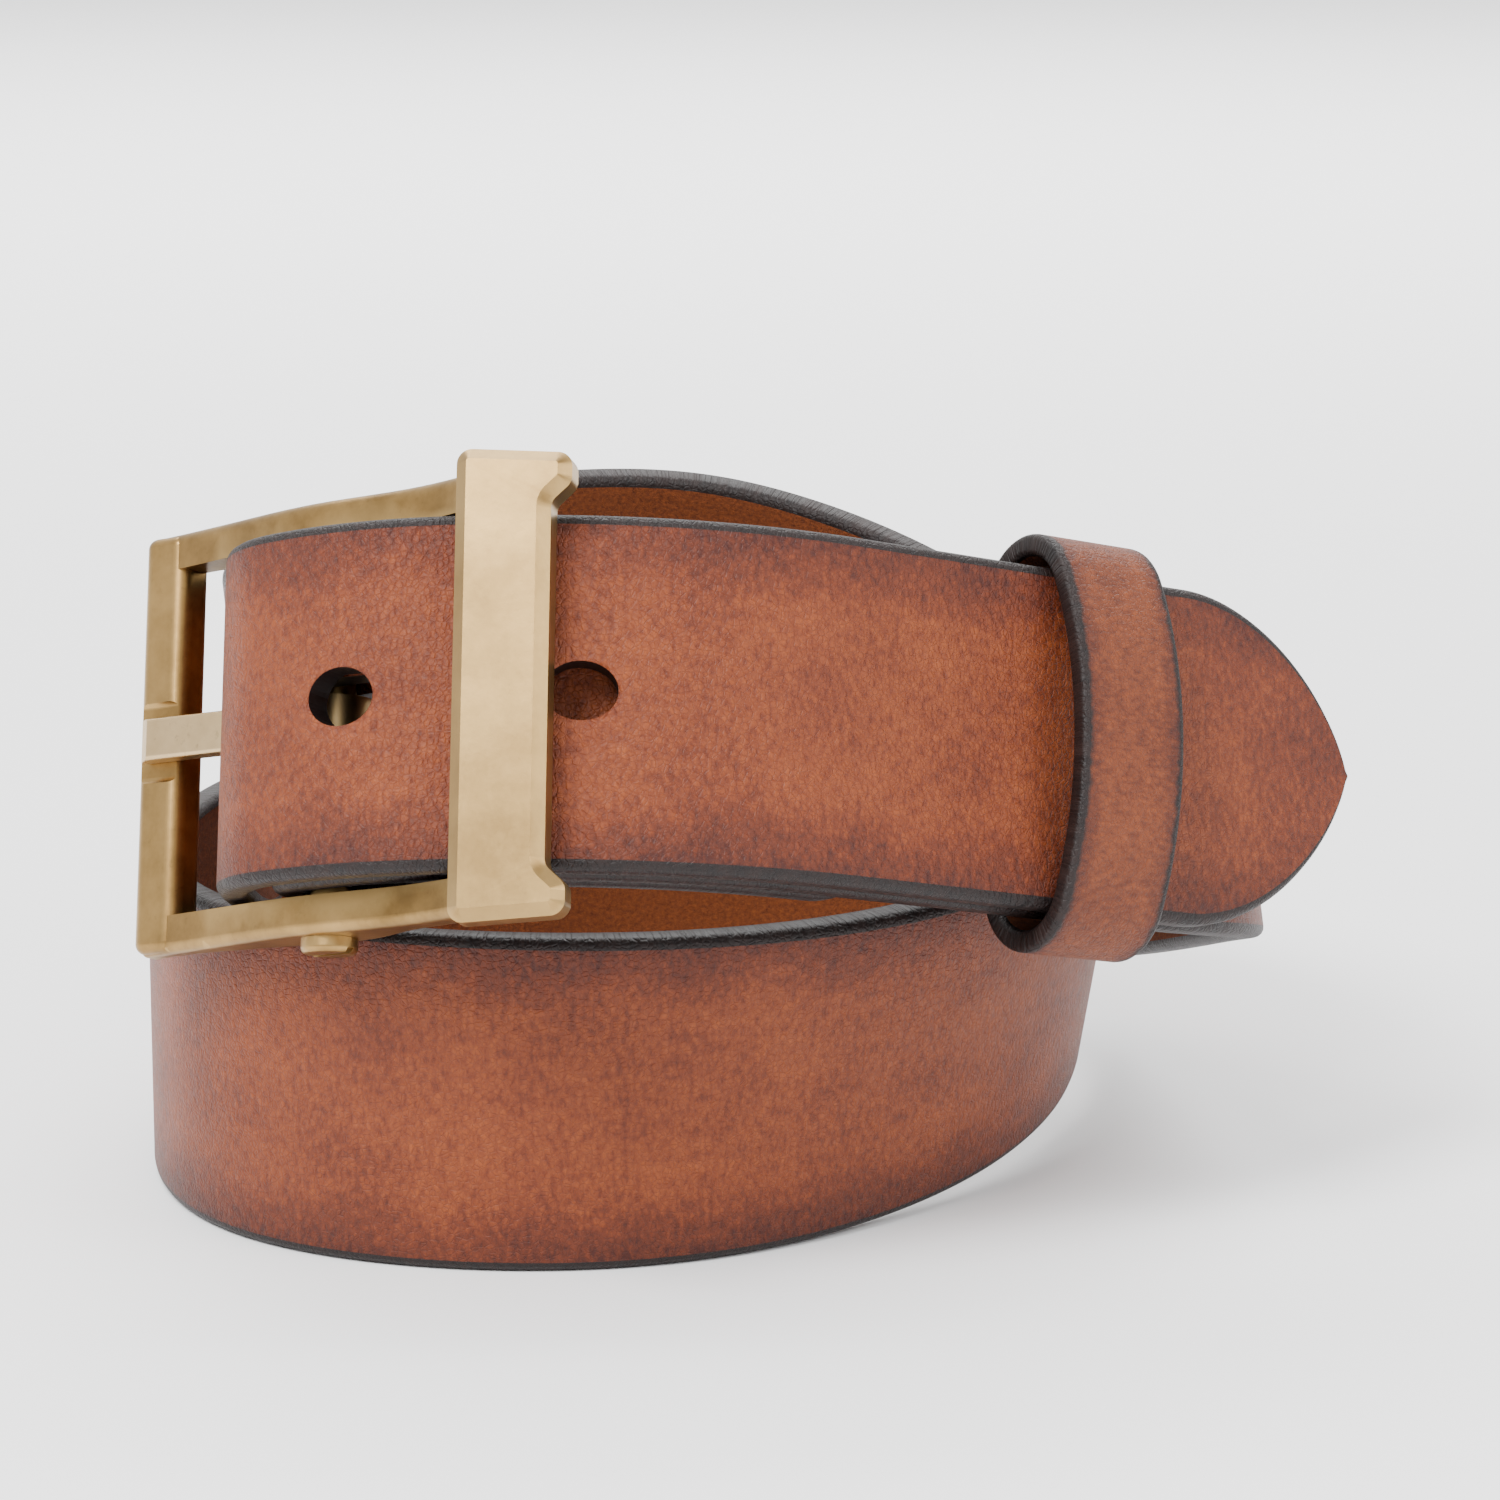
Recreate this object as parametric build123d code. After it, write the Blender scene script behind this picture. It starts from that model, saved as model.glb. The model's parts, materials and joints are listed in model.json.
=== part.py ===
"""Leather belt with a centre-bar buckle, buckled and stood on edge in a two-turn coil.

Millimetres, +Z up. The origin is on the floor, under the middle of the coil's bounding box.
The front of the upper turn is drawn in one leaning profile plane (u to the right, v into the
coil, w up the strap's width); the rest of the strap follows a spline round the two turns.
"""
import os
from math import atan2, cos, degrees, radians, sin

from build123d import *

# ------------------------------------------------------------------ strap
STRAP_WIDTH = 38.1
STRAP_THICKNESS = 3.9
EDGE_RADIUS = 1.2
LAYER_PITCH = 4.75          # tip strap to the strand behind it, centre to centre
FOLD_GAP = 0.2              # between the strand and its folded-back end
HOLE_PITCH = 25.4
HOLE_LENGTH = 7.9
HOLE_HEIGHT = 6.35
TIP_TAPER = 23.0            # length of the pointed tip
TAIL_LENGTH = 67.0          # straight run from the front arc to the point of the tip
PARALLEL_RUN = 42.0         # how far the strand behind follows that straight run
TAB_RUN = 9.5               # how far the folded end follows it
TAB_CORNER = 9.0
SLOT_LENGTH = 26.0
SLOT_WIDTH = 6.4
NEAR_HOLE_HEADING = 2.6     # the hole beside the keeper bar
SECOND_HOLE_HEADING = -26.6
PRONG_HOLE_REACH = 3.3      # the buckled hole, back from where the bend's arc ends

# ------------------------------------------------------------------ leaning front of the upper turn
FRONT_POINT = (-17.0, -68.6, 66.4)   # foremost point of the tip strap's middle
FRONT_LEAN = 21.5                    # degrees the strap leans back
FRONT_ROLL = 0.6                     # degrees it tips to the right
FRONT_RADIUS = 58.0
SHOULDER_RADIUS = 39.0
BEND_RADIUS = 13.2
TAIL_HEADING = 33.0
SHOULDER_START = -14.0
BEND_START = -42.5
BEND_END = -89.0

# ------------------------------------------------------------------ the rest of the coil
# spline control points from the keeper round to the bend: x, y, height of the middle, inward lean
COIL = [
    (62.5, 3.0, 43.0, 1),
    (56.5, 51.5, 28.0, -10),
    (18.0, 80.0, 20.5, -13),
    (-30.0, 75.0, 19.1, -3),
    (-60.0, 40.0, 19.1, 0),
    (-69.5, -6.5, 19.1, 0),
    (-58.0, -50.0, 19.1, 0),
    (-14.5, -63.0, 19.1, -2),
    (20.0, -46.0, 19.0, -12),
    (44.0, -14.5, 22.5, -13.5),
    (46.5, 18.0, 31.5, -5),
    (31.5, 50.0, 43.5, 2),
    (-1.5, 69.0, 56.0, 26),
    (-31.0, 57.0, 54.5, 16.5),
    (-49.5, 36.0, 51.0, -14),
    (-57.5, 8.0, 49.5, -10.5),
]
SECTIONS_PER_SPAN = 3
FINE = 60                   # steps per span when measuring along the spline

# ------------------------------------------------------------------ buckle
BAR_RADIUS = 2.2
BAR_DEPTH = 9.2             # centre bar, in from the tip strap's middle
BAR_HEADING = -42.0
BUCKLE_HEADING = -38.0      # direction of the frame's rails at the centre bar
LEFT_BAR = (-25.2, 0.4)     # middle of each bar from the centre bar, along and across the rails
KEEPER_BAR = (28.6, -5.6)
KEEPER_BAR_TURN = 28.0      # degrees the keeper bar is turned, to lie along the strap
OPENING = 19.6              # half of the clear height between the rails
FRAME_HALF = 23.8
KEEPER_BAR_HALF = 25.2
PRONG_TURN = 5.6            # degrees from the rails to the prong
PRONG_OFFSET = 0.6          # prong's middle, out from the bar's axis
PRONG_WIDTH = 4.7
PRONG_THICKNESS = 2.6
EYE_RADIUS = 4.1
HOLE_REACH_FROM_BAR = 12.5  # buckled hole, along the prong
PRONG_PLAY = 0.8            # its travel there either way
PIVOT_CLEARANCE = 0.06
LEFT_BAR_WIDTH = 6.2
LEFT_BAR_THICKNESS = 5.0
NOTCH_HEIGHT = 9.4
NOTCH_DEPTH = 1.2
KEEPER_BAR_WIDTH = 10.2
KEEPER_BAR_THICKNESS = 4.4
EAR_FLARE = 2.2             # how far the keeper bar's ends spread towards the tip

# ------------------------------------------------------------------ keeper loop and fold screws
KEEPER_WIDTH = 13.8
KEEPER_START = 24.3         # its left edge, along the straight run
KEEPER_LEATHER = 2.5
KEEPER_HALF_HEIGHT = 23.4
KEEPER_HALF_DEPTH = 11.2
KEEPER_END_RADIUS = 8.0     # outside radius of the loop's ends
KEEPER_JOINT = 0.2          # butt joint at the back of the loop
STAPLE_LENGTH = 7.0
STAPLE_WIRE = 0.8
STAPLE_SPREAD = 3.4         # staples either side of the loop's middle
SCREW_HEADING = 14.0
SCREW_SPREAD = 9.5          # screws above and below the strap's middle
POST_RADIUS = 2.5
SCREW_RADIUS = 1.9
HEAD_RADIUS = 4.6

# ================================================================== frames of reference
lean = radians(FRONT_LEAN)
roll = radians(FRONT_ROLL)
AXIS = Vector(sin(roll), cos(roll) * sin(lean), cos(roll) * cos(lean))
INWARD = (Vector(0, 1, 0) - AXIS * AXIS.Y).normalized()
FRONT = Plane(origin=FRONT_POINT, x_dir=INWARD.cross(AXIS), z_dir=AXIS)


def on_arc(centre, radius, heading):
    """Point of a profile arc where the strap runs at this heading."""
    return (centre[0] + radius * sin(radians(heading)), centre[1] - radius * cos(radians(heading)))


FRONT_CENTRE = (0, FRONT_RADIUS)
SHOULDER_CENTRE = on_arc(FRONT_CENTRE, FRONT_RADIUS - SHOULDER_RADIUS, SHOULDER_START)
BEND_CENTRE = on_arc(SHOULDER_CENTRE, SHOULDER_RADIUS - BEND_RADIUS, BEND_START)
BAR_POINT = on_arc(SHOULDER_CENTRE, SHOULDER_RADIUS - BAR_DEPTH, BAR_HEADING)
TAIL_START = on_arc(FRONT_CENTRE, FRONT_RADIUS, TAIL_HEADING)


def strand(depth, first, heading_from, run):
    """Profile wire parallel to the tip strap: arcs from a heading to the tail, then a straight run."""
    edges = []
    arcs = [
        (BEND_CENTRE, BEND_RADIUS, BEND_END, BEND_START),
        (SHOULDER_CENTRE, SHOULDER_RADIUS, BEND_START, SHOULDER_START),
        (FRONT_CENTRE, FRONT_RADIUS, SHOULDER_START, TAIL_HEADING),
    ]
    for centre, radius, begin, end in arcs[first:]:
        begin = max(begin, heading_from)
        if begin < end:
            edges.append(CenterArc(centre, radius - depth, begin - 90, end - begin))
    if run:
        start = on_arc(FRONT_CENTRE, FRONT_RADIUS - depth, TAIL_HEADING)
        step = (run * cos(radians(TAIL_HEADING)), run * sin(radians(TAIL_HEADING)))
        edges.append(Line(start, (start[0] + step[0], start[1] + step[1])))
    return edges


def band(edges):
    """Strap solid swept along a profile wire in the front plane."""
    path = Wire([FRONT.from_local_coords(edge) for edge in edges])
    across = Plane(origin=path @ 0, x_dir=AXIS, z_dir=path % 0)
    return sweep(across * RectangleRounded(STRAP_WIDTH, STRAP_THICKNESS, EDGE_RADIUS), path)


def front_place(heading, depth, centre=FRONT_CENTRE, radius=FRONT_RADIUS):
    """Plane at a depth behind the tip strap: x along the strap, y up its width, z outwards."""
    u, v = on_arc(centre, radius - depth, heading)
    along = FRONT.x_dir * cos(radians(heading)) + FRONT.y_dir * sin(radians(heading))
    return Plane(origin=FRONT.from_local_coords(Vector(u, v, 0)), x_dir=along, z_dir=along.cross(AXIS))


# ================================================================== spline part of the strap
def lean_of(tangent):
    """Inward lean, in degrees, that lines the strap's width up with the front's axis."""
    up = (Vector(0, 0, 1) - tangent * tangent.Z).normalized()
    return degrees(atan2(AXIS.dot(up.cross(tangent)), AXIS.dot(up)))


def clamped(point, pull, neighbour):
    """Two control values that start a uniform cubic spline at a point with a given pull."""
    outer = [n - 2 * d for n, d in zip(neighbour, pull)]
    inner = [1.5 * p - 0.5 * n + 0.5 * d for p, n, d in zip(point, neighbour, pull)]
    return [outer, inner]


def end_values(position, tangent, neighbour):
    """Position, pull and lean of a spline end that continues a front strand."""
    reach = (Vector(*neighbour[:3]) - position).length
    tilt = lean_of(tangent)
    return list(position) + [tilt], reach, (neighbour[3] - tilt) / 2


def coil_controls(start, start_tangent, end, end_tangent):
    point, reach, turn = end_values(start, start_tangent, COIL[0])
    head = clamped(point, list(start_tangent * reach) + [turn], COIL[0])
    point, reach, turn = end_values(end, end_tangent, COIL[-1])
    foot = clamped(point, list(end_tangent * -reach) + [turn], COIL[-1])
    return head + [list(row) for row in COIL] + foot[::-1]


def coil_section(controls, span, t):
    """Strap cross-section plane at a spline parameter: x up the width, z along the strap."""
    value = [(1 - t) ** 3, 3 * t**3 - 6 * t**2 + 4, -3 * t**3 + 3 * t**2 + 3 * t + 1, t**3]
    slope = [-((1 - t) ** 2), 3 * t**2 - 4 * t, -3 * t**2 + 2 * t + 1, t**2]
    rows = controls[span:span + 4]
    x, y, z, tilt = [sum(w * row[k] for w, row in zip(value, rows)) / 6 for k in range(4)]
    tangent = Vector(*[sum(w * row[k] for w, row in zip(slope, rows)) for k in range(3)]).normalized()
    up = (Vector(0, 0, 1) - tangent * tangent.Z).normalized()
    width = up * cos(radians(tilt)) + up.cross(tangent) * sin(radians(tilt))
    return Plane(origin=(x, y, z), x_dir=width, z_dir=tangent)


def heading_vector(heading):
    return (cos(radians(heading)), sin(radians(heading)))


def tail_plane(depth):
    """Plane on the straight run: x along the strap from its start, y up the width, z outwards."""
    u, v = on_arc(FRONT_CENTRE, FRONT_RADIUS - depth, TAIL_HEADING)
    cu, cv = heading_vector(TAIL_HEADING)
    along = FRONT.x_dir * cu + FRONT.y_dir * cv
    return Plane(origin=FRONT.from_local_coords(Vector(u, v, 0)), x_dir=along, z_dir=along.cross(AXIS))


def coil_place(distance):
    """Plane on the spline strap, a distance back from its end: x along, y up the width, z outwards."""
    last = coil_section(controls, spans - 1, 1.0)
    travelled, step = 0.0, 0
    while travelled < distance:
        step += 1
        spot = coil_section(controls, spans - 1 - step // FINE, 1 - step % FINE / FINE)
        travelled += (spot.origin - last.origin).length
        last = spot
    return Plane(origin=last.origin, x_dir=last.z_dir, z_dir=last.z_dir.cross(last.x_dir))


# ================================================================== strap
tip_edges = strand(0, 0, BEND_END, TAIL_LENGTH)
main_edges = strand(LAYER_PITCH, 1, BAR_HEADING, PARALLEL_RUN)
tip_strand = band(tip_edges)
main_strand = band(main_edges)

coil_from = Wire([FRONT.from_local_coords(edge) for edge in main_edges])
coil_to = Wire([FRONT.from_local_coords(edge) for edge in tip_edges])
controls = coil_controls(coil_from @ 1, coil_from % 1, coil_to @ 0, coil_to % 0)
spans = len(controls) - 3
places = [
    coil_section(controls, i // SECTIONS_PER_SPAN, i % SECTIONS_PER_SPAN / SECTIONS_PER_SPAN)
    for i in range(spans * SECTIONS_PER_SPAN)
] + [coil_section(controls, spans - 1, 1.0)]
rounded = RectangleRounded(STRAP_WIDTH, STRAP_THICKNESS, EDGE_RADIUS)
coil = loft([place * rounded for place in places])


# fold round the centre bar and the end folded back behind the strand
fold_radius = BAR_DEPTH - LAYER_PITCH
tab_depth = LAYER_PITCH + STRAP_THICKNESS + FOLD_GAP
fold_arc = CenterArc(BAR_POINT, fold_radius, BAR_HEADING - 270, 180)
tab_edges = strand(tab_depth, 2, -8, TAB_RUN)
behind_bar = on_arc(SHOULDER_CENTRE, SHOULDER_RADIUS - BAR_DEPTH - fold_radius, BAR_HEADING)
tab_start = on_arc(FRONT_CENTRE, FRONT_RADIUS - tab_depth, -8)
easing = Spline(
    [behind_bar, tab_start],
    tangents=[heading_vector(BAR_HEADING), heading_vector(-8)],
)
folded = band([fold_arc, easing] + tab_edges)

# openings in the folded end: prong slot, screw holes, rounded corners
bar_face = front_place(BAR_HEADING, BAR_DEPTH, SHOULDER_CENTRE, SHOULDER_RADIUS)
slot_cut = extrude(bar_face * SlotOverall(SLOT_LENGTH, SLOT_WIDTH), amount=9, both=True)
screw_face = front_place(SCREW_HEADING, LAYER_PITCH)
screw_spots = [screw_face * Pos(0, y, 0) for y in (SCREW_SPREAD, -SCREW_SPREAD)]
screw_cut = [spot * Cylinder(POST_RADIUS + 0.05, 30) for spot in screw_spots]
tab_end = tail_plane(tab_depth)
end_cut = extrude(
    tab_end * (Pos(TAB_RUN, 0) * Rectangle(2 * TAB_CORNER, STRAP_WIDTH + 2)
               - Pos(TAB_RUN - TAB_CORNER * 2, 0) * RectangleRounded(TAB_CORNER * 4, STRAP_WIDTH, TAB_CORNER)),
    amount=STRAP_THICKNESS / 2 + 0.1,
    both=True,
)
buckle_end = main_strand + folded - slot_cut - screw_cut - end_cut

# pointed tip
tip_face = tail_plane(0)
half_width = STRAP_WIDTH / 2
taper = TAIL_LENGTH - TIP_TAPER
upper = Spline(
    [(taper, half_width), (taper + 7.5, 16.8), (taper + 14.5, 12.1), (taper + 20, 6), (TAIL_LENGTH, 0)],
    tangents=[(1, 0), (0, -1)],
)
lower = mirror(upper, Plane.XZ)
point_shape = make_face([upper, lower, Line((taper, -half_width), (taper, half_width))])
point_cut = Pos(TAIL_LENGTH, 0) * Rectangle(2 * TIP_TAPER, STRAP_WIDTH + 2) - point_shape
tip_cut = extrude(tip_face * point_cut, amount=STRAP_THICKNESS / 2 + 0.1, both=True)

# size holes, at one pitch from the hole beside the keeper bar back to the end of the spline
hole_places = [
    front_place(NEAR_HOLE_HEADING, 0),
    front_place(SECOND_HOLE_HEADING, 0, SHOULDER_CENTRE, SHOULDER_RADIUS),
] + [coil_place(PRONG_HOLE_REACH + n * HOLE_PITCH) for n in range(3)]
holes = [extrude(place * Ellipse(HOLE_LENGTH / 2, HOLE_HEIGHT / 2), amount=5, both=True) for place in hole_places]

strap = coil + (tip_strand - tip_cut) + buckle_end
strap -= holes


# ================================================================== buckle
buckle_dir = FRONT.x_dir * cos(radians(BUCKLE_HEADING)) + FRONT.y_dir * sin(radians(BUCKLE_HEADING))
BUCKLE = Plane(origin=FRONT.from_local_coords(Vector(*BAR_POINT, 0)), x_dir=buckle_dir, z_dir=AXIS)

# rails, outlined in side view: outer edge left to right, then the inner edge back
outer_edge = Spline([(-27.2, -1.4), (-13, -3.0), (0, -4.2), (12, -3.6), (20, -4.4), (28.0, -6.8)])
inner_edge = Spline([(30.4, -4.0), (21, -0.4), (12, 1.0), (4.5, 3.6), (-4.5, 3.6), (-13, 2.2), (-27.8, 2.8)])
rail_face = make_face([
    outer_edge,
    Line(outer_edge @ 1, inner_edge @ 0),
    inner_edge,
    Line(inner_edge @ 1, outer_edge @ 0),
])
rail = Pos(0, 0, OPENING) * extrude(rail_face, amount=FRAME_HALF - OPENING)
rail = fillet(rail.edges().group_by(Axis.Z)[-1].filter_by(lambda e: e.length > 20), 1.2)
rails = rail + mirror(rail, Plane.XY)

# left bar with the notch the prong rests in
left_place = Pos(LEFT_BAR[0], LEFT_BAR[1]) * Rot(Z=4)
left_section = RectangleRounded(LEFT_BAR_WIDTH, LEFT_BAR_THICKNESS, 1.7)
left_bar = extrude(left_section, amount=FRAME_HALF - 0.2, both=True)
left_bar = left_place * fillet(left_bar.edges().group_by(Axis.Z)[0] + left_bar.edges().group_by(Axis.Z)[-1], 1.2)
notch = Box(LEFT_BAR_WIDTH + 4, 2 * NOTCH_DEPTH, NOTCH_HEIGHT)
notch = fillet(notch.edges().filter_by(Axis.X), 0.9)
prong_turn = Rot(Z=PRONG_TURN)
prong_back = PRONG_THICKNESS / 2 - PRONG_OFFSET
notch = prong_turn * Pos(LEFT_BAR[0], prong_back + 0.05 - NOTCH_DEPTH) * notch

# keeper bar, lying along the strap, its ends flared towards the tip
side = KEEPER_BAR_WIDTH / 2
ear = Polyline(
    (-side, KEEPER_BAR_HALF), (side + EAR_FLARE, KEEPER_BAR_HALF - 0.8), (side + EAR_FLARE, FRAME_HALF - 2.6),
    (side, OPENING - 0.4), (side, 0),
)
ear_low = mirror(ear, Plane.XZ)
bar_outline = make_face([ear, ear_low, Line((-side, -KEEPER_BAR_HALF), (-side, KEEPER_BAR_HALF))])
bar_outline = fillet(bar_outline.vertices().filter_by(lambda v: abs(v.Y) > OPENING - 1), 1.6)
keeper_bar = extrude(bar_outline, amount=KEEPER_BAR_THICKNESS)
keeper_bar = chamfer(keeper_bar.edges().group_by(Axis.Z)[-1], 1.3)
keeper_bar_place = Pos(*KEEPER_BAR) * Rot(Z=KEEPER_BAR_TURN) * Pos(0, KEEPER_BAR_THICKNESS / 2)
keeper_bar = keeper_bar_place * Rot(X=90) * keeper_bar

bar_top = OPENING + 2.9
bar_bottom = -(FRAME_HALF - 0.1)
bore = Pos(0, 0, (bar_top + 0.05 - FRAME_HALF - 2) / 2) * Cylinder(
    BAR_RADIUS + 0.03, bar_top + 0.05 + FRAME_HALF + 2
)
buckle_frame = BUCKLE * (rails + left_bar + keeper_bar - notch - bore)

# centre bar, closed at the bottom by its screw
screw_hole = Pos(0, 0, bar_bottom + 3.5) * Cylinder(1.25, 7)
centre_bar = Pos(0, 0, (bar_top + bar_bottom) / 2) * Cylinder(BAR_RADIUS, bar_top - bar_bottom)
centre_bar = BUCKLE * (centre_bar - screw_hole)
screw_head = Pos(0, 0, -FRAME_HALF - 0.02 - 0.85) * Cylinder(3.1, 1.7)
screw_head = fillet(screw_head.edges().group_by(Axis.Z)[0], 0.7)
screw_head -= Pos(0, 0, -FRAME_HALF - 1.7) * Box(7, 0.9, 1.2)
screw_shank = Pos(0, 0, -FRAME_HALF - 0.02 + 3.3) * Cylinder(1.22, 6.6)
bar_screw = BUCKLE * (screw_head + screw_shank)

# prong: eye on the centre bar, shank through the strap, bevelled tip in the notch
tip_reach = -LEFT_BAR[0] + LEFT_BAR_WIDTH / 2 - 1.7
shank_mid = -PRONG_OFFSET
half_thick = PRONG_THICKNESS / 2
shank_side = make_face(Polyline(
    (0, shank_mid - half_thick), (-tip_reach + 1.8, shank_mid - half_thick),
    (-tip_reach, shank_mid + half_thick - 1.2), (-tip_reach, shank_mid + half_thick),
    (0, shank_mid + half_thick), close=True,
))
shank = extrude(shank_side, amount=PRONG_WIDTH / 2, both=True)
eye = Cylinder(EYE_RADIUS, PRONG_WIDTH)
prong = shank + eye
prong = fillet(prong.edges().filter_by(lambda e: e.center().X < -EYE_RADIUS and e.length > 3), 0.5)
# leather pressed back where the shank swings in the buckled hole
pressed = Pos(-HOLE_REACH_FROM_BAR, shank_mid) * Box(12, PRONG_THICKNESS + 2 * PRONG_PLAY, PRONG_WIDTH + 0.3)
pressed = fillet(pressed.edges().filter_by(Axis.X), 0.8)
strap -= BUCKLE * prong_turn * pressed
prong = BUCKLE * prong_turn * (prong - Cylinder(BAR_RADIUS + PIVOT_CLEARANCE, PRONG_WIDTH + 2))

# ================================================================== keeper loop
end_centre = KEEPER_HALF_HEIGHT - KEEPER_END_RADIUS
span_sum = KEEPER_HALF_DEPTH + KEEPER_END_RADIUS
span_gap = KEEPER_HALF_DEPTH - KEEPER_END_RADIUS
face_radius = (end_centre**2 + span_sum * span_gap) / (2 * span_gap)
end_sweep = degrees(atan2(face_radius - KEEPER_HALF_DEPTH, end_centre))


def oval(inset):
    """Section of the loop: width direction x, depth direction y."""
    face_arc = 90 - end_sweep
    end_arc = CenterArc((end_centre, 0), KEEPER_END_RADIUS - inset, -end_sweep, 2 * end_sweep)
    bow = CenterArc((0, KEEPER_HALF_DEPTH - face_radius), face_radius - inset, end_sweep, 2 * face_arc)
    return make_face([end_arc, mirror(end_arc, Plane.YZ), bow, mirror(bow, Plane.XZ)])


tail = tail_plane(LAYER_PITCH / 2)
keeper_middle = KEEPER_START + KEEPER_WIDTH / 2
LOOP = Plane(origin=tail.from_local_coords(Vector(keeper_middle, 0, 0)), x_dir=AXIS, z_dir=tail.x_dir)
loop = extrude(oval(0) - oval(KEEPER_LEATHER), amount=KEEPER_WIDTH / 2, both=True)
loop = fillet(loop.edges().filter_by(lambda e: abs(e.center().Z) > 1), 0.4)
# LOOP's y direction points outwards or inwards: the joint goes on the inward side
back = -1 if LOOP.y_dir.dot(tail.z_dir) > 0 else 1
joint_cut = Pos(0, back * KEEPER_HALF_DEPTH) * Box(KEEPER_JOINT, 4 * KEEPER_LEATHER, KEEPER_WIDTH + 2)
leg_depth = KEEPER_LEATHER * 0.75
crown_at = KEEPER_HALF_DEPTH - (face_radius - (face_radius**2 - (STAPLE_LENGTH / 2) ** 2) ** 0.5)


def staple_solid(place, growth=0.0):
    wire = STAPLE_WIRE + growth
    crown = Pos(0, back * crown_at) * Box(STAPLE_LENGTH, wire, wire)
    leg = Box(wire, leg_depth, wire)
    legs = [Pos(x, back * (crown_at - leg_depth / 2)) * leg
            for x in ((STAPLE_LENGTH - STAPLE_WIRE) / 2, -(STAPLE_LENGTH - STAPLE_WIRE) / 2)]
    return Pos(0, 0, place) * (crown + legs)


staples = {}
for number, place in enumerate((STAPLE_SPREAD, -STAPLE_SPREAD), start=1):
    loop -= staple_solid(place, 0.04)
    staples[f"keeper_staple_{number}"] = LOOP * staple_solid(place)
keeper = LOOP * (loop - joint_cut)

# ================================================================== fold screws
fastenings = {}
stack = 2 * STRAP_THICKNESS + FOLD_GAP
for number, spot in enumerate(screw_spots, start=1):
    face = STRAP_THICKNESS / 2
    head = Pos(0, 0, face + 0.03 + 0.25) * Cylinder(HEAD_RADIUS, 0.5)
    barrel = Pos(0, 0, face + 0.1 - (stack - 0.2) / 2) * Cylinder(POST_RADIUS, stack - 0.2)
    thread = Pos(0, 0, face - stack) * Cylinder(SCREW_RADIUS + 0.05, 2 * (stack - 1.5))
    fastenings[f"fold_screw_post_{number}"] = spot * (head + barrel - thread)
    cap = Pos(0, 0, face - stack - 0.27 - 0.5) * Cylinder(HEAD_RADIUS, 1.0)
    cap = fillet(cap.edges().group_by(Axis.Z)[0], 0.5)
    cap -= Pos(0, 0, face - stack - 1.27) * Box(2 * HEAD_RADIUS + 1, 1.1, 0.9)
    stem = Pos(0, 0, face - stack - 0.27 + 2.4) * Cylinder(SCREW_RADIUS, 4.8)
    fastenings[f"fold_screw_{number}"] = spot * (cap + stem)

# ================================================================== placing and export
parts = {
    "strap": strap,
    "buckle_frame": buckle_frame,
    "centre_bar": centre_bar,
    "bar_screw": bar_screw,
    "prong": prong,
    "keeper": keeper,
    **staples,
    **fastenings,
}
box = Compound(list(parts.values())).bounding_box()
shift = Vector(-(box.min.X + box.max.X) / 2, -(box.min.Y + box.max.Y) / 2, -box.min.Z)
os.makedirs("parts", exist_ok=True)
for name, part in parts.items():
    export_step(Pos(shift) * part, f"parts/{name}.step")
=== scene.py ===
"""Leather belt with a centre-bar buckle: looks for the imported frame, in metres."""
import json
from math import atan2, cos, degrees, pi, radians, sin, sqrt

import bmesh
import bpy
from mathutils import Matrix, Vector


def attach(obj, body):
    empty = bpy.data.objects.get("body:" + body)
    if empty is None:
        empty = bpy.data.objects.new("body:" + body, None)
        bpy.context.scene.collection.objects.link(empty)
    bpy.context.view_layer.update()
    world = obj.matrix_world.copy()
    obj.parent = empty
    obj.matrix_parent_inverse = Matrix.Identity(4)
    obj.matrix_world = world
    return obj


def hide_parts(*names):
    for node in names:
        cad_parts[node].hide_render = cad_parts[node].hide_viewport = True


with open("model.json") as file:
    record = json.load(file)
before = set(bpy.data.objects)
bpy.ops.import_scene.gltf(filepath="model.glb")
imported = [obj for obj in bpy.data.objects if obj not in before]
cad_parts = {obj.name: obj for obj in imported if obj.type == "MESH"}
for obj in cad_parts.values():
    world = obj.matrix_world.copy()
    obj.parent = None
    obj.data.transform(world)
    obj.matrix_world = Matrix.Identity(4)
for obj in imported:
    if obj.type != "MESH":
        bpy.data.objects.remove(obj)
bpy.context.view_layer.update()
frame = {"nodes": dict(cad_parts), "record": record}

MM = 0.001

# ------------------------------------------------------------------ strap, the same numbers as the CAD
HALF_WIDTH = 19.05
THICKNESS = 3.9
EDGE_RADIUS = 1.2
LAYER_PITCH = 4.75
FOLD_GAP = 0.2
HOLE_PITCH = 25.4
HOLE_HALF_LENGTH = 3.95
HOLE_HALF_HEIGHT = 3.175
COIL_HOLES = 3
COIL_HOLE_REACH = 3.0       # how far each way a coil hole's cutter goes through
FRONT_HOLE_REACH = 2.2      # the same on the front, short enough to clear the strap behind
NEAR_HOLE_HEADING = 2.6     # the hole beside the keeper bar
SECOND_HOLE_HEADING = -26.6
PRONG_HOLE_REACH = 3.3      # the buckled hole, back from where the bend's arc ends
SLOT_HALF_WIDTH = 3.2
SLOT_HALF_STRAIGHT = 9.8
SLOT_HALF_DEPTH = 6.9
TIP_TAPER = 23.0
TIP_FINE = 6.0              # last stretch of the tip, with closer sections
TAIL_LENGTH = 67.0
PARALLEL_RUN = 42.0
TAB_RUN = 9.5
TAB_CORNER = 9.0
FRONT_POINT = Vector((-17.0, -68.6, 66.4))
FRONT_LEAN = 21.5
FRONT_ROLL = 0.6
FRONT_RADIUS = 58.0
SHOULDER_RADIUS = 39.0
BEND_RADIUS = 13.2
TAIL_HEADING = 33.0
SHOULDER_START = -14.0
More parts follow.
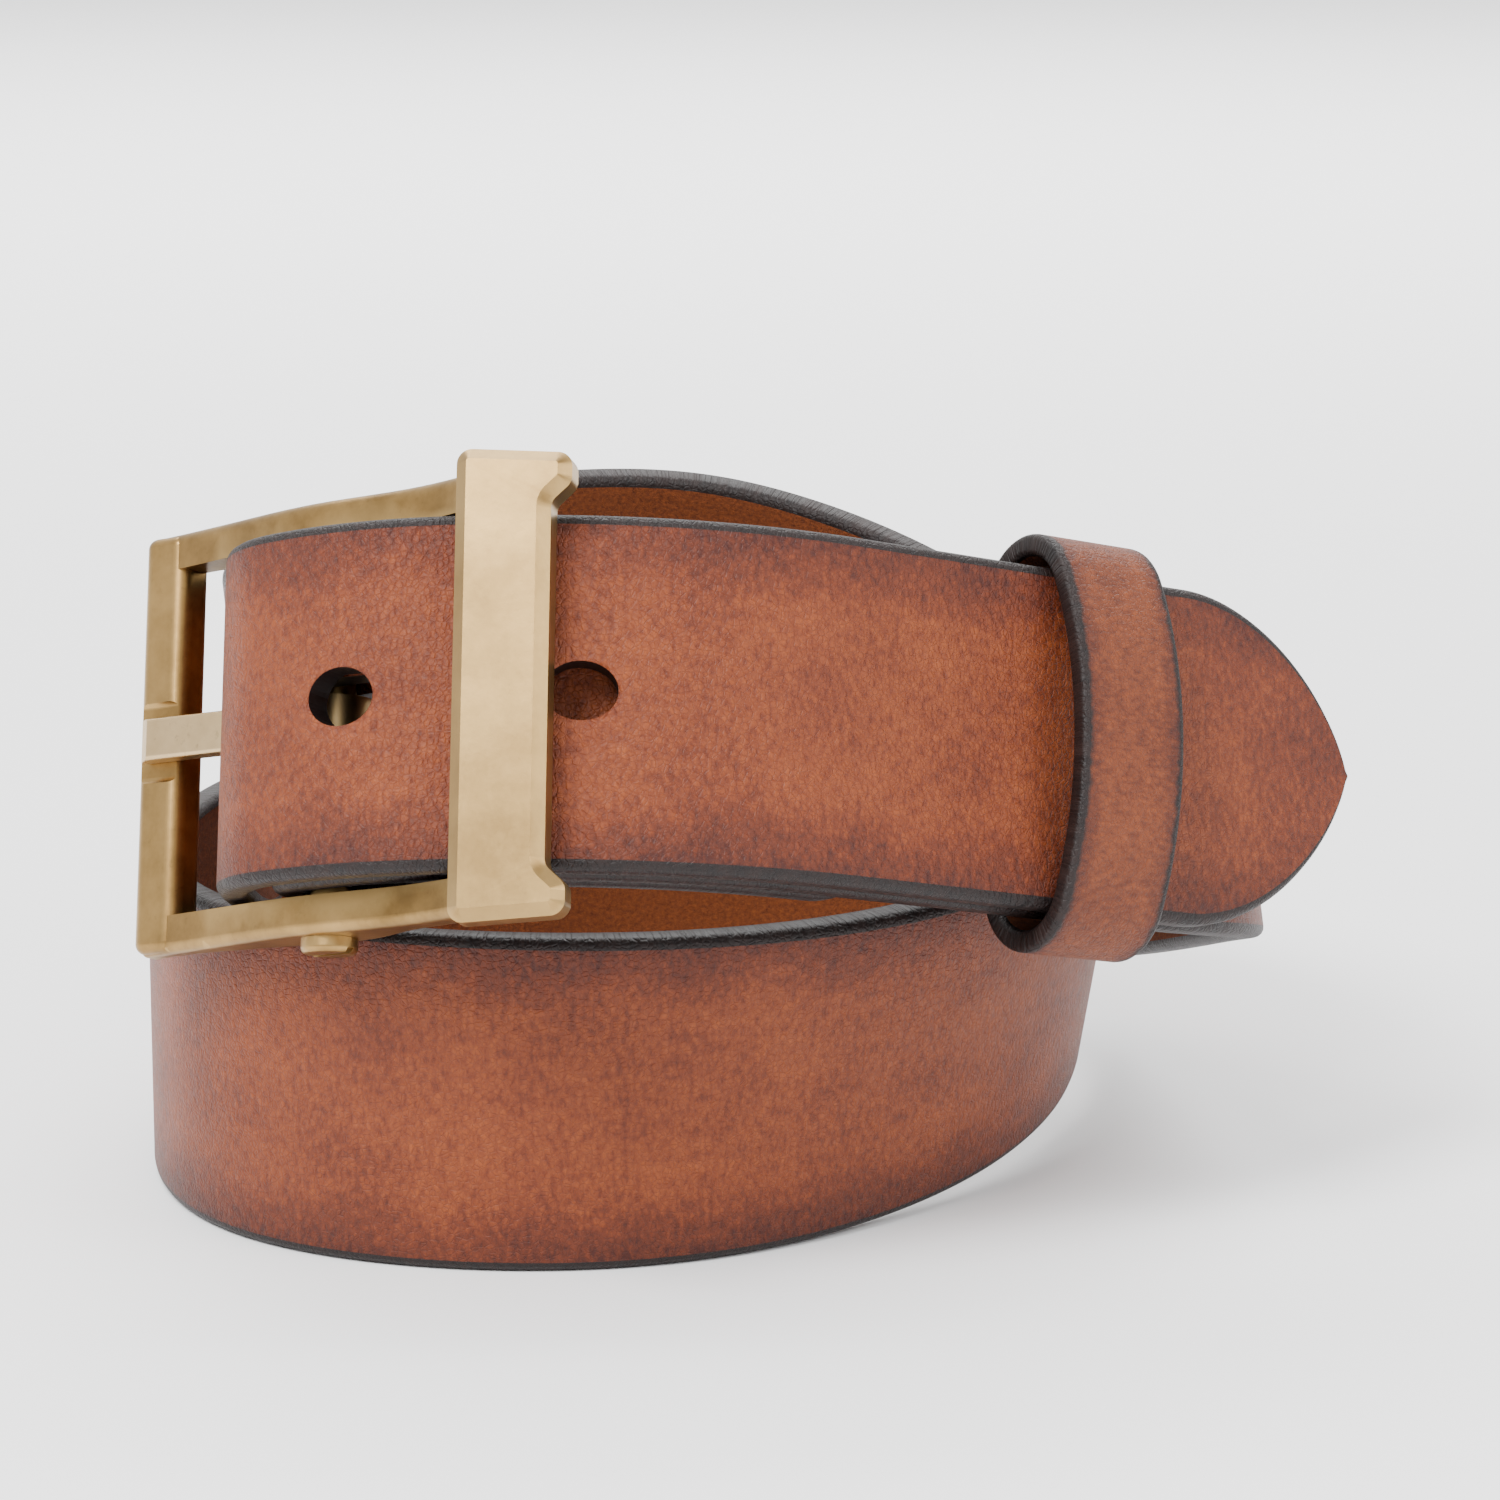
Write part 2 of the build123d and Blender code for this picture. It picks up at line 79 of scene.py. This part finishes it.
BEND_START = -42.5
BEND_END = -89.0
BAR_DEPTH = 9.2
BAR_HEADING = -42.0
TAB_HEADING = -8.0          # where the folded end starts to run parallel to the strand
SHIFT = Vector((-1.84065, 1.50397, -0.01914))   # the CAD's last move, onto its floor origin
# spline control points from the keeper round to the bend: x, y, height of the middle, inward lean
COIL = [
    (62.5, 3.0, 43.0, 1),
    (56.5, 51.5, 28.0, -10),
    (18.0, 80.0, 20.5, -13),
    (-30.0, 75.0, 19.1, -3),
    (-60.0, 40.0, 19.1, 0),
    (-69.5, -6.5, 19.1, 0),
    (-58.0, -50.0, 19.1, 0),
    (-14.5, -63.0, 19.1, -2),
    (20.0, -46.0, 19.0, -12),
    (44.0, -14.5, 22.5, -13.5),
    (46.5, 18.0, 31.5, -5),
    (31.5, 50.0, 43.5, 2),
    (-1.5, 69.0, 56.0, 26),
    (-31.0, 57.0, 54.5, 16.5),
    (-49.5, 36.0, 51.0, -14),
    (-57.5, 8.0, 49.5, -10.5),
]

lean = radians(FRONT_LEAN)
roll = radians(FRONT_ROLL)
AXIS = Vector((sin(roll), cos(roll) * sin(lean), cos(roll) * cos(lean)))
INWARD = (Vector((0, 1, 0)) - AXIS * AXIS.y).normalized()
RIGHT = INWARD.cross(AXIS)


def on_arc(centre, radius, heading):
    """Point of a profile arc where the strap runs at this heading."""
    return (centre[0] + radius * sin(radians(heading)), centre[1] - radius * cos(radians(heading)))


def front_point(u, v):
    """Point of the leaning profile plane: u to the right, v into the coil."""
    return FRONT_POINT + RIGHT * u + INWARD * v


def front_dir(heading):
    """Direction in the profile plane at this heading."""
    return RIGHT * cos(radians(heading)) + INWARD * sin(radians(heading))


FRONT_CENTRE = (0, FRONT_RADIUS)
SHOULDER_CENTRE = on_arc(FRONT_CENTRE, FRONT_RADIUS - SHOULDER_RADIUS, SHOULDER_START)
BEND_CENTRE = on_arc(SHOULDER_CENTRE, SHOULDER_RADIUS - BEND_RADIUS, BEND_START)
BAR_POINT = on_arc(SHOULDER_CENTRE, SHOULDER_RADIUS - BAR_DEPTH, BAR_HEADING)
ARCS = [
    (BEND_CENTRE, BEND_RADIUS, BEND_END, BEND_START),
    (SHOULDER_CENTRE, SHOULDER_RADIUS, BEND_START, SHOULDER_START),
    (FRONT_CENTRE, FRONT_RADIUS, SHOULDER_START, TAIL_HEADING),
]


def strand(depth, first, heading_from, run, step=1.2):
    """Places (point, direction, width) along a front strand, from a heading to its straight run."""
    places = []
    for centre, radius, begin, end in ARCS[first:]:
        begin = max(begin, heading_from)
        count = max(2, int(radians(end - begin) * (radius - depth) / step))
        for i in range(count):
            heading = begin + (end - begin) * i / count
            places.append((front_point(*on_arc(centre, radius - depth, heading)), front_dir(heading), AXIS))
    start = front_point(*on_arc(FRONT_CENTRE, FRONT_RADIUS - depth, TAIL_HEADING))
    along = front_dir(TAIL_HEADING)
    count = int(run / step)
    places += [(start + along * run * i / count, along, AXIS) for i in range(count + 1)]
    return places


def lean_of(tangent):
    """Inward lean, in degrees, that lines the strap's width up with the front's axis."""
    up = (Vector((0, 0, 1)) - tangent * tangent.z).normalized()
    return degrees(atan2(AXIS.dot(up.cross(tangent)), AXIS.dot(up)))


def clamped(point, pull, neighbour):
    """Two control values that start a uniform cubic spline at a point with a given pull."""
    outer = [n - 2 * d for n, d in zip(neighbour, pull)]
    inner = [1.5 * p - 0.5 * n + 0.5 * d for p, n, d in zip(point, neighbour, pull)]
    return [outer, inner]


def end_controls(place, direction, neighbour):
    """Two control rows that join the spline to a front strand's end."""
    point, tangent, _ = place
    reach = (Vector(neighbour[:3]) - point).length
    tilt = lean_of(tangent)
    pull = list(tangent * reach * direction) + [(neighbour[3] - tilt) / 2]
    return clamped(list(point) + [tilt], pull, neighbour)


def coil_places(start, end, steps=26):
    """Places along the cubic spline from the end of one front strand to the start of the other."""
    controls = end_controls(start, 1, COIL[0]) + [list(row) for row in COIL]
    controls += end_controls(end, -1, COIL[-1])[::-1]
    places = []
    for step in range((len(controls) - 3) * steps + 1):
        span = min(step // steps, len(controls) - 4)
        t = step / steps - span
        value = [(1 - t) ** 3, 3 * t**3 - 6 * t**2 + 4, -3 * t**3 + 3 * t**2 + 3 * t + 1, t**3]
        slope = [-((1 - t) ** 2), 3 * t**2 - 4 * t, -3 * t**2 + 2 * t + 1, t**2]
        rows = controls[span:span + 4]
        x, y, z, tilt = [sum(w * row[k] for w, row in zip(value, rows)) / 6 for k in range(4)]
        tangent = Vector([sum(w * row[k] for w, row in zip(slope, rows)) for k in range(3)]).normalized()
        up = (Vector((0, 0, 1)) - tangent * tangent.z).normalized()
        width = up * cos(radians(tilt)) + up.cross(tangent) * sin(radians(tilt))
        places.append((Vector((x, y, z)), tangent, width))
    return places


def fold_places():
    """Places from the end of the strand behind, round the centre bar, to the folded tab's end."""
    radius = BAR_DEPTH - LAYER_PITCH
    places = []
    for i in range(25):
        angle = BAR_HEADING - 180 * i / 24
        u, v = on_arc(BAR_POINT, radius, angle)
        places.append((front_point(u, v), front_dir(angle) * -1, AXIS))
    tab = strand(LAYER_PITCH + THICKNESS + FOLD_GAP, 2, TAB_HEADING, TAB_RUN)
    start = places[-1][0]
    goal = tab[0][0]
    leaving = front_dir(BAR_HEADING) * (goal - start).length
    arriving = front_dir(TAB_HEADING) * (goal - start).length
    for i in range(1, 14):
        t = i / 14
        point = (
            start * (2 * t**3 - 3 * t**2 + 1)
            + leaving * (t**3 - 2 * t**2 + t)
            + goal * (3 * t**2 - 2 * t**3)
            + arriving * (t**3 - t**2)
        )
        slope = (
            (goal - start) * (6 * t - 6 * t**2)
            + leaving * (3 * t**2 - 4 * t + 1)
            + arriving * (3 * t**2 - 2 * t)
        )
        places.append((point, slope.normalized(), AXIS))
    return places + tab


def reverse(places):
    """The same places, run the other way."""
    return [(point, direction * -1, width) for point, direction, width in places[::-1]]


tip_strand = strand(0, 0, BEND_END, TAIL_LENGTH - TIP_FINE, 1.0)
end_point, end_dir, _ = tip_strand[-1]
for i in range(1, 25):
    reach = TIP_FINE * (1 - (1 - i / 24) ** 2)
    tip_strand.append((end_point + end_dir * reach, end_dir, AXIS))
main_strand = strand(LAYER_PITCH, 1, BAR_HEADING, PARALLEL_RUN)
coil = coil_places(main_strand[-1], tip_strand[0])
# from the point of the tip back along the whole strap to the folded end
route = reverse(tip_strand) + reverse(coil)[1:-1] + reverse(main_strand) + fold_places()[1:]


def lengths(places):
    """Distance along the places, from the first."""
    total = [0.0]
    for before, after in zip(places, places[1:]):
        total.append(total[-1] + (after[0] - before[0]).length)
    return total


def half_width(distance, total):
    """Half the strap's width, narrowing at the tip and at the folded end's rounded corners."""
    if distance < TIP_TAPER:
        share = max(distance, 0.02) / TIP_TAPER
        return HALF_WIDTH * (1 - (1 - share) ** 1.9) ** (1 / 1.5)
    left = total - distance
    if left < TAB_CORNER:
        return HALF_WIDTH - TAB_CORNER + sqrt(max(TAB_CORNER**2 - (TAB_CORNER - left) ** 2, 0.0))
    return HALF_WIDTH


def section(half, half_thick, radius, face_steps, arc_steps=4):
    """Rounded rectangle as (across, out, side): side 1 grain, -1 flesh, 0 edge."""
    radius = min(radius, half * 0.9)
    points = []
    inner = half - radius
    for i in range(face_steps):
        points.append((-inner + 2 * inner * i / face_steps, half_thick, 1))
    for i in range(arc_steps):
        turn = pi / 2 * i / arc_steps
        points.append((inner + radius * sin(turn), half_thick - radius + radius * cos(turn), 0))
    points.append((half, half_thick - radius, 0))
    for i in range(arc_steps):
        turn = pi / 2 * i / arc_steps
        points.append((inner + radius * cos(turn), -half_thick + radius - radius * sin(turn), 0))
    for i in range(face_steps):
        points.append((inner - 2 * inner * i / face_steps, -half_thick, -1))
    for i in range(arc_steps):
        turn = pi / 2 * i / arc_steps
        points.append((-inner - radius * sin(turn), -half_thick + radius - radius * cos(turn), 0))
    points.append((-half, -half_thick + radius, 0))
    for i in range(arc_steps):
        turn = pi / 2 * i / arc_steps
        points.append((-inner - radius * cos(turn), half_thick - radius + radius * sin(turn), 0))
    return points


def swept(name, places, widths, half_thick, radius, face_steps):
    """Leather band mesh with its length and width in a UV map and the side in a face attribute."""
    distances = lengths(places)
    bm = bmesh.new()
    uv = bm.loops.layers.uv.new("length_width")
    side = bm.faces.layers.float.new("side")
    rings = []
    for (point, direction, width), half in zip(places, widths):
        out = width.cross(direction)
        profile = section(half, half_thick, radius, face_steps)
        verts = [bm.verts.new((point + width * a + out * o + SHIFT) * MM) for a, o, _ in profile]
        rings.append((verts, profile))
    count = len(rings[0][0])
    for i, j in zip(range(len(rings)), range(1, len(rings))):
        for k in range(count):
            m = (k + 1) % count
            face = bm.faces.new((rings[i][0][k], rings[i][0][m], rings[j][0][m], rings[j][0][k]))
            face.smooth = True
            face[side] = rings[i][1][k][2]
            spots = ((i, k), (i, m), (j, m), (j, k))
            for loop, (r, c) in zip(face.loops, spots):
                loop[uv].uv = (distances[r], rings[r][1][c][0])
    for verts in (rings[0][0], rings[-1][0][::-1]):
        face = bm.faces.new(verts)
        face[side] = 0
    bmesh.ops.recalc_face_normals(bm, faces=bm.faces)
    mesh = bpy.data.meshes.new(name)
    bm.to_mesh(mesh)
    bm.free()
    piece = bpy.data.objects.new(name, mesh)
    bpy.context.scene.collection.objects.link(piece)
    return piece


total_length = lengths(route)[-1]
widths = [half_width(distance, total_length) for distance in lengths(route)]
strap = swept("strap_leather", route, widths, THICKNESS / 2, EDGE_RADIUS, 22)


# ------------------------------------------------------------------ size holes and the fold's slot
def cut(piece, tool):
    """Cuts a tool object out of a piece, and removes the tool."""
    modifier = piece.modifiers.new("cut", "BOOLEAN")
    modifier.operation = "DIFFERENCE"
    modifier.solver = "EXACT"
    modifier.object = tool
    graph = bpy.context.evaluated_depsgraph_get()
    mesh = bpy.data.meshes.new_from_object(piece.evaluated_get(graph))
    piece.modifiers.clear()
    old = piece.data
    piece.data = mesh
    bpy.data.meshes.remove(old)
    bpy.data.objects.remove(tool)


def cutter(point, along, width, half_along, half_across, depth, straight=0.0):
    """Oval prism; straight lengthens it along the strap."""
    out = along.cross(width)
    bm = bmesh.new()
    rings = []
    for end in (-depth, depth):
        ring = []
        for i in range(40):
            turn = 2 * pi * (i + 0.5) / 40
            x = half_along * cos(turn) + (straight if cos(turn) > 0 else -straight)
            spot = point + along * x + width * half_across * sin(turn) + out * end
            ring.append(bm.verts.new((spot + SHIFT) * MM))
        rings.append(ring)
    for i in range(40):
        j = (i + 1) % 40
        bm.faces.new((rings[0][i], rings[0][j], rings[1][j], rings[1][i]))
    bm.faces.new(rings[0][::-1])
    bm.faces.new(rings[1])
    bmesh.ops.recalc_face_normals(bm, faces=bm.faces)
    mesh = bpy.data.meshes.new("cutter")
    bm.to_mesh(mesh)
    bm.free()
    piece = bpy.data.objects.new("cutter", mesh)
    bpy.context.scene.collection.objects.link(piece)
    return piece


def front_place(heading, depth, centre, radius):
    """Point and direction at a depth behind the tip strap."""
    return front_point(*on_arc(centre, radius - depth, heading)), front_dir(heading)


coil_back = reverse(coil)
coil_reach = lengths(coil_back)
for number in range(COIL_HOLES):
    reach = PRONG_HOLE_REACH + number * HOLE_PITCH
    at = min(range(len(coil_reach)), key=lambda i: abs(coil_reach[i] - reach))
    point, along, width = coil_back[at]
    cut(strap, cutter(point, along, width, HOLE_HALF_LENGTH, HOLE_HALF_HEIGHT, COIL_HOLE_REACH))
for heading, centre, radius in (
    (NEAR_HOLE_HEADING, FRONT_CENTRE, FRONT_RADIUS),
    (SECOND_HOLE_HEADING, SHOULDER_CENTRE, SHOULDER_RADIUS),
):
    point, along = front_place(heading, 0, centre, radius)
    cut(strap, cutter(point, along, AXIS, HOLE_HALF_LENGTH, HOLE_HALF_HEIGHT, FRONT_HOLE_REACH))
point, along = front_place(BAR_HEADING, BAR_DEPTH, SHOULDER_CENTRE, SHOULDER_RADIUS)
slot = cutter(point, along, AXIS, SLOT_HALF_WIDTH, SLOT_HALF_WIDTH, SLOT_HALF_DEPTH, SLOT_HALF_STRAIGHT)
cut(strap, slot)

# ------------------------------------------------------------------ keeper loop
KEEPER_HALF_HEIGHT = 23.4
KEEPER_HALF_DEPTH = 11.2
KEEPER_END_RADIUS = 8.0
KEEPER_LEATHER = 2.5
KEEPER_HALF_WIDTH = 6.9
KEEPER_START = 24.3         # its left edge, along the straight run
KEEPER_EDGE_RADIUS = 0.7
HALF_JOINT = 0.1            # half the gap where the loop's ends meet at the back
end_centre = KEEPER_HALF_HEIGHT - KEEPER_END_RADIUS
gap = KEEPER_HALF_DEPTH - KEEPER_END_RADIUS
face_radius = (end_centre**2 + (KEEPER_HALF_DEPTH + KEEPER_END_RADIUS) * gap) / (2 * gap)
end_angle = atan2(face_radius - KEEPER_HALF_DEPTH, end_centre)
tail_dir = front_dir(TAIL_HEADING)
tail_out = tail_dir.cross(AXIS)
keeper_middle = front_point(*on_arc(FRONT_CENTRE, FRONT_RADIUS - LAYER_PITCH / 2, TAIL_HEADING))
keeper_middle += tail_dir * (KEEPER_START + KEEPER_HALF_WIDTH)


def oval_points(inset):
    """Points of the oval inside the loop's outline, from the back joint round to it again."""
    runs = [
        ((0, KEEPER_HALF_DEPTH - face_radius), face_radius - inset, pi / 2, end_angle, 14),
        ((end_centre, 0), KEEPER_END_RADIUS - inset, end_angle, -end_angle, 20),
        ((0, face_radius - KEEPER_HALF_DEPTH), face_radius - inset, -end_angle, end_angle - pi, 28),
        ((-end_centre, 0), KEEPER_END_RADIUS - inset, pi + end_angle, pi - end_angle, 20),
        ((0, KEEPER_HALF_DEPTH - face_radius), face_radius - inset, pi - end_angle, pi / 2, 14),
    ]
    points = []
    for (up_centre, deep_centre), radius, begin, end, count in runs:
        for i in range(count + 1):
            turn = begin + (end - begin) * i / count
            up = up_centre + radius * cos(turn)
            deep = deep_centre + radius * sin(turn)
            point = keeper_middle + AXIS * up - tail_out * deep
            if not points or (points[-1] - point).length > 0.05:
                points.append(point)
    return points


def loop_places():
    """Places along the middle of the keeper's leather, its grain side away from the strap."""
    points = oval_points(KEEPER_LEATHER / 2)
    places = []
    for n, point in enumerate(points):
        before = points[max(n - 1, 0)]
        after = points[min(n + 1, len(points) - 1)]
        along = (after - before).normalized()
        faces_out = tail_dir.cross(along).dot(point - keeper_middle) > 0
        places.append((point, along, tail_dir if faces_out else tail_dir * -1))
    for n, step in ((0, HALF_JOINT), (-1, -HALF_JOINT)):
        point, along, width = places[n]
        places[n] = (point + along * step, along, width)
    return places


keeper_places = loop_places()
keeper_halves = [KEEPER_HALF_WIDTH] * len(keeper_places)
keeper = swept("keeper_leather", keeper_places, keeper_halves, KEEPER_LEATHER / 2, KEEPER_EDGE_RADIUS, 10)


# ------------------------------------------------------------------ materials
class Nodes:
    """Small helper to write a node tree."""

    def __init__(self, name):
        self.material = bpy.data.materials.new(name)
        self.material.use_nodes = True
        self.tree = self.material.node_tree
        self.shader = self.tree.nodes["Principled BSDF"]

    def node(self, kind, inputs=None, **settings):
        made = self.tree.nodes.new(kind)
        for key, value in settings.items():
            setattr(made, key, value)
        for key, value in (inputs or {}).items():
            if isinstance(value, bpy.types.NodeSocket):
                self.tree.links.new(value, made.inputs[key])
            else:
                made.inputs[key].default_value = value
        return made

    def math(self, operation, a, b=0.0, clamp=False):
        return self.node("ShaderNodeMath", {0: a, 1: b}, operation=operation, use_clamp=clamp).outputs[0]

    def scaled(self, vector, factors):
        return self.node("ShaderNodeVectorMath", {0: vector, 1: factors}, operation="MULTIPLY").outputs[0]

    def noise(self, vector, scale, detail=4.0, roughness=0.55):
        inputs = {"Vector": vector, "Scale": scale, "Detail": detail, "Roughness": roughness}
        return self.node("ShaderNodeTexNoise", inputs).outputs["Fac"]

    def mix(self, fac, a, b):
        made = self.node("ShaderNodeMix", data_type="RGBA")
        for socket, value in ((made.inputs[0], fac), (made.inputs[6], a), (made.inputs[7], b)):
            if isinstance(value, bpy.types.NodeSocket):
                self.tree.links.new(value, socket)
            else:
                socket.default_value = value
        return made.outputs[2]

    def ramp(self, value, low, high):
        inputs = {"Value": value, "From Min": low, "From Max": high}
        return self.node("ShaderNodeMapRange", inputs, clamp=True).outputs[0]

    def link(self, socket, name):
        self.tree.links.new(socket, self.shader.inputs[name])


def leather_material(name, half, lightness, red, tip_shade):
    """Full-grain leather, its noises in millimetres along and across the band."""
    n = Nodes(name)
    uv = n.node("ShaderNodeUVMap", uv_map="length_width").outputs[0]
    parts = n.node("ShaderNodeSeparateXYZ", {0: uv})
    across = n.math("ABSOLUTE", parts.outputs[1])
    side = n.node("ShaderNodeAttribute", attribute_name="side").outputs["Fac"]
    cloudy = n.noise(uv, 0.09, 3.0)
    mottle = n.noise(uv, 0.55, 5.0, 0.65)
    creased = n.scaled(uv, (1.6, 0.8, 1.0))
    wrinkle = n.noise(creased, 0.9, 6.0, 0.6)
    pore_inputs = {"Vector": uv, "Scale": 1.5}
    pores = n.node("ShaderNodeTexVoronoi", pore_inputs, feature="DISTANCE_TO_EDGE").outputs[0]
    fine = n.noise(uv, 3.2, 4.0, 0.6)
    # this factor scales the light and middle tones; the keeper's copy of the leather is darker than the
    # strap's
    light = (0.25 * lightness, 0.058 * lightness, 0.012 * lightness, 1)
    middle = (0.125 * lightness, 0.0225 * red, 0.0048, 1)
    dark = (0.042, 0.0062, 0.0026, 1)
    tone = n.math("ADD", n.math("MULTIPLY", cloudy, 0.42), n.math("MULTIPLY", mottle, 0.26))
    tone = n.math("ADD", tone, 0.14)
    tone = n.math("ADD", tone, n.math("MULTIPLY", n.math("SUBTRACT", wrinkle, 0.5), 0.9))
    to_edge = n.ramp(across, half * 0.55, half)
    tone = n.math("SUBTRACT", tone, n.math("MULTIPLY", to_edge, 0.30))
    tone = n.math("SUBTRACT", tone, n.math("MULTIPLY", n.ramp(parts.outputs[0], 26.0, 2.0), tip_shade))
    grain = n.mix(n.ramp(tone, 0.12, 0.44), dark, middle)
    grain = n.mix(n.ramp(tone, 0.40, 0.80), grain, light)
    # painted shade: the colour is darkened along the grooves of the pore bump where the wrinkles are
    # strong, shade painted into the grain's creases
    crease_shade = n.math("MULTIPLY", n.ramp(pores, 0.10, 0.0), n.ramp(wrinkle, 0.40, 0.62))
    grain = n.mix(n.math("MULTIPLY", crease_shade, 0.35), grain, dark)
    fibre = n.noise(uv, 1.6, 8.0, 0.8)
    flesh = n.mix(n.ramp(fibre, 0.35, 0.65), (0.07, 0.016, 0.004, 1), (0.22, 0.055, 0.011, 1))
    burnish = n.mix(n.ramp(mottle, 0.35, 0.65), (0.004, 0.002, 0.002, 1), (0.013, 0.006, 0.005, 1))
    is_grain = n.math("GREATER_THAN", side, 0.5)
    is_flesh = n.math("LESS_THAN", side, -0.5)
    ragged = n.math("MULTIPLY", n.math("SUBTRACT", n.noise(uv, 0.8, 5.0), 0.5), 1.4)
    rim = n.ramp(n.math("ADD", across, ragged), half - 1.3, half - 0.7)
    face = n.mix(is_flesh, n.mix(rim, grain, burnish), flesh)
    either = n.math("ADD", is_grain, is_flesh, True)
    n.link(n.mix(either, burnish, face), "Base Color")
    smooth = n.math("ADD", 0.36, n.math("MULTIPLY", mottle, 0.22))
    rough = n.math("ADD", smooth, n.math("MULTIPLY", is_flesh, 0.45), True)
    n.link(rough, "Roughness")
    height = n.math("ADD", n.math("MULTIPLY", wrinkle, 0.55), n.math("MULTIPLY", fine, 0.25))
    height = n.math("ADD", height, n.math("MULTIPLY", n.ramp(pores, 0.0, 0.16), 0.18))
    height = n.math("ADD", height, n.math("MULTIPLY", n.math("MULTIPLY", is_flesh, fibre), 1.2))
    bump = n.node("ShaderNodeBump", {"Height": height, "Strength": 0.8, "Distance": 0.00045})
    n.link(bump.outputs[0], "Normal")
    n.shader.inputs["Specular IOR Level"].default_value = 0.28
    return n.material


def brass_material(name, bright, dull, rough):
    """Aged brass with faint brushing, small dark specks and brighter edges."""
    n = Nodes(name)
    place = n.node("ShaderNodeTexCoord").outputs["Object"]
    cloud = n.noise(place, 110.0, 5.0, 0.65)
    brushed = n.scaled(place, (1.0, 1.0, 0.06))
    streak = n.noise(brushed, 2600.0, 3.0, 0.7)
    speck = n.noise(place, 900.0, 4.0, 0.7)
    edge = n.node("ShaderNodeNewGeometry").outputs["Pointiness"]
    worn = n.ramp(n.math("ADD", edge, n.math("MULTIPLY", n.math("SUBTRACT", cloud, 0.5), 0.06)), 0.50, 0.56)
    body = n.mix(n.ramp(cloud, 0.35, 0.68), dull, bright)
    body = n.mix(n.math("MULTIPLY", n.ramp(speck, 0.60, 0.72), 0.3), body, (0.09, 0.055, 0.022, 1))
    body = n.mix(n.math("MULTIPLY", worn, 0.5), body, (0.48, 0.32, 0.13, 1))
    n.link(body, "Base Color")
    n.shader.inputs["Metallic"].default_value = 1.0
    n.link(n.math("ADD", rough, n.math("MULTIPLY", streak, 0.16)), "Roughness")
    height = n.math("ADD", n.math("MULTIPLY", streak, 0.35), n.math("MULTIPLY", speck, 0.5))
    bump = n.node("ShaderNodeBump", {"Height": height, "Strength": 0.25, "Distance": 0.00006})
    n.link(bump.outputs[0], "Normal")
    return n.material


strap_material = leather_material("strap_leather_look", HALF_WIDTH, 1.0, 1.0, 0.16)
keeper_material = leather_material("keeper_leather_look", KEEPER_HALF_WIDTH, 0.85, 0.95, 0.0)
strap.data.materials.clear()
strap.data.materials.append(strap_material)
keeper.data.materials.append(keeper_material)
aged_brass = brass_material("antique_brass_look", (0.33, 0.20, 0.070, 1), (0.19, 0.112, 0.038, 1), 0.27)
bright_brass = brass_material("prong_brass_look", (0.62, 0.46, 0.26, 1), (0.48, 0.34, 0.18, 1), 0.26)

body_of = {node: body for body, nodes in frame["record"]["behaviour"]["bodies"].items() for node in nodes}
for node in body_of:
    if node in ("strap", "keeper"):
        continue
    piece = frame["nodes"][node]
    look = bright_brass if node == "prong" else aged_brass
    piece.data.materials.clear()
    piece.data.materials.append(look)

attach(strap, "strap_body")
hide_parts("strap")
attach(keeper, "keeper_body")
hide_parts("keeper")

# ------------------------------------------------------------------ floor, light and camera
floor_mesh = bpy.data.meshes.new("floor")
bm = bmesh.new()
bmesh.ops.create_grid(bm, x_segments=1, y_segments=1, size=6.0)
bm.to_mesh(floor_mesh)
bm.free()
floor = bpy.data.objects.new("floor", floor_mesh)
bpy.context.scene.collection.objects.link(floor)
n = Nodes("floor_paper")
spot = n.node("ShaderNodeTexCoord").outputs["Object"]
n.link(n.mix(n.noise(spot, 3.0), (0.93, 0.93, 0.935, 1), (0.95, 0.95, 0.955, 1)), "Base Color")
n.shader.inputs["Roughness"].default_value = 0.8
floor_mesh.materials.append(n.material)

world = bpy.data.worlds.new("studio")
bpy.context.scene.world = world
world.use_nodes = True
world.node_tree.nodes["Background"].inputs[0].default_value = (1.0, 1.0, 1.0, 1)
world.node_tree.nodes["Background"].inputs[1].default_value = 1.5


def area_light(name, position, target, size, power):
    """Square light at a position, turned to its target."""
    light = bpy.data.lights.new(name, "AREA")
    light.size = size
    light.energy = power
    lamp = bpy.data.objects.new(name, light)
    lamp.location = position
    lamp.rotation_euler = (Vector(target) - Vector(position)).to_track_quat("-Z", "Y").to_euler()
    bpy.context.scene.collection.objects.link(lamp)


CAMERA_SPOT = (0.00156, -0.55530, 0.15648)
CAMERA_TILT = 11.14         # degrees down from level
CAMERA_LENS = 113.5

area_light("key", (-0.30, -0.45, 0.65), (0, -0.03, 0.05), 0.30, 9.0)
area_light("side", (0.55, -0.35, 0.40), (0, -0.03, 0.05), 0.30, 2.0)
area_light("backdrop", (0.0, 1.6, 1.6), (0, 2.2, 0.0), 2.0, 90.0)

camera_data = bpy.data.cameras.new("camera")
camera_data.sensor_width = 36.0
camera_data.lens = CAMERA_LENS
camera = bpy.data.objects.new("camera", camera_data)
camera.location = CAMERA_SPOT
camera.rotation_euler = (radians(90 - CAMERA_TILT), 0, 0)
bpy.context.scene.collection.objects.link(camera)
bpy.context.scene.camera = camera
